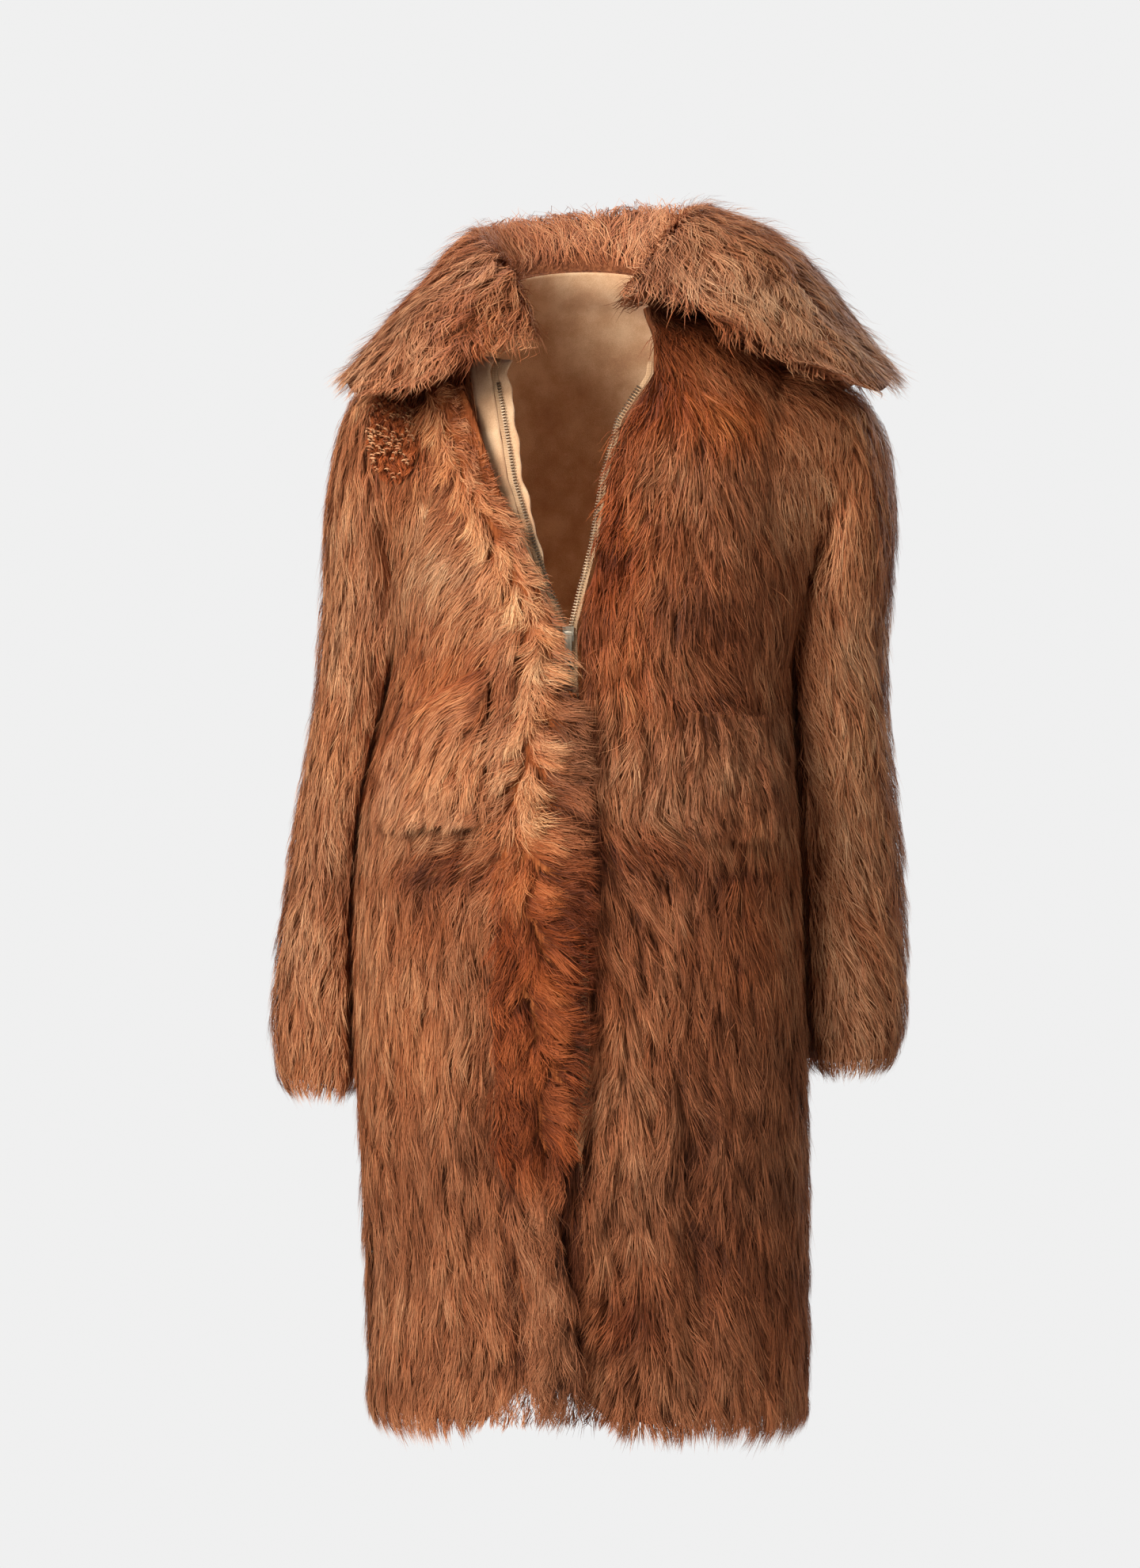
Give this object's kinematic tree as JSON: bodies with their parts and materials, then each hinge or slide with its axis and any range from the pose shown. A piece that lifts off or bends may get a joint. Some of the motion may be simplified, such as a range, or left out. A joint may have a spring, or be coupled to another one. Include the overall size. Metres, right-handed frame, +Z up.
{
  "type": "shearling coat",
  "caption": "Knee-length fur-side-out shearling coat with a wide collar, long sleeves and a front zip under a fur strip, in its worn form.",
  "frame": {"origin": "at the neck, level with the shoulders, in the middle of the neck opening, where the wearer's neck and shoulders carry the coat", "axes": "+Z up, -Y to the wearer's front, +X to the wearer's left"},
  "size_m": [0.5452, 0.3405, 1.0278],
  "materials": {
    "fur": "long rust-brown sheep's fur lying downwards in wavy locks",
    "suede": "pale beige suede, the skin side",
    "zip_tape": "woven beige tape",
    "zip_metal": "nickel-coloured metal"
  },
  "bodies": {
    "coat": {"back": "fur", "collar": "fur", "facing_right": "suede", "front_left": "fur", "front_right": "fur", "placket": "fur", "pocket_left": "fur", "pocket_right": "fur", "sleeve_left": "fur", "sleeve_right": "fur", "suede_right": "suede", "zip_slider": "zip_metal", "zip_tape_left": "zip_tape", "zip_tape_right": "zip_tape"},
    "pull": {"zip_pull": "zip_metal"}
  },
  "joints": [
    {"name": "zip_pull_hinge", "type": "hinge", "parent": "coat", "child": "pull", "pos_m": [-0.0115, -0.14072, -0.278], "axis": [-1, 0, 0], "range_deg": [0, 150]}
  ]
}
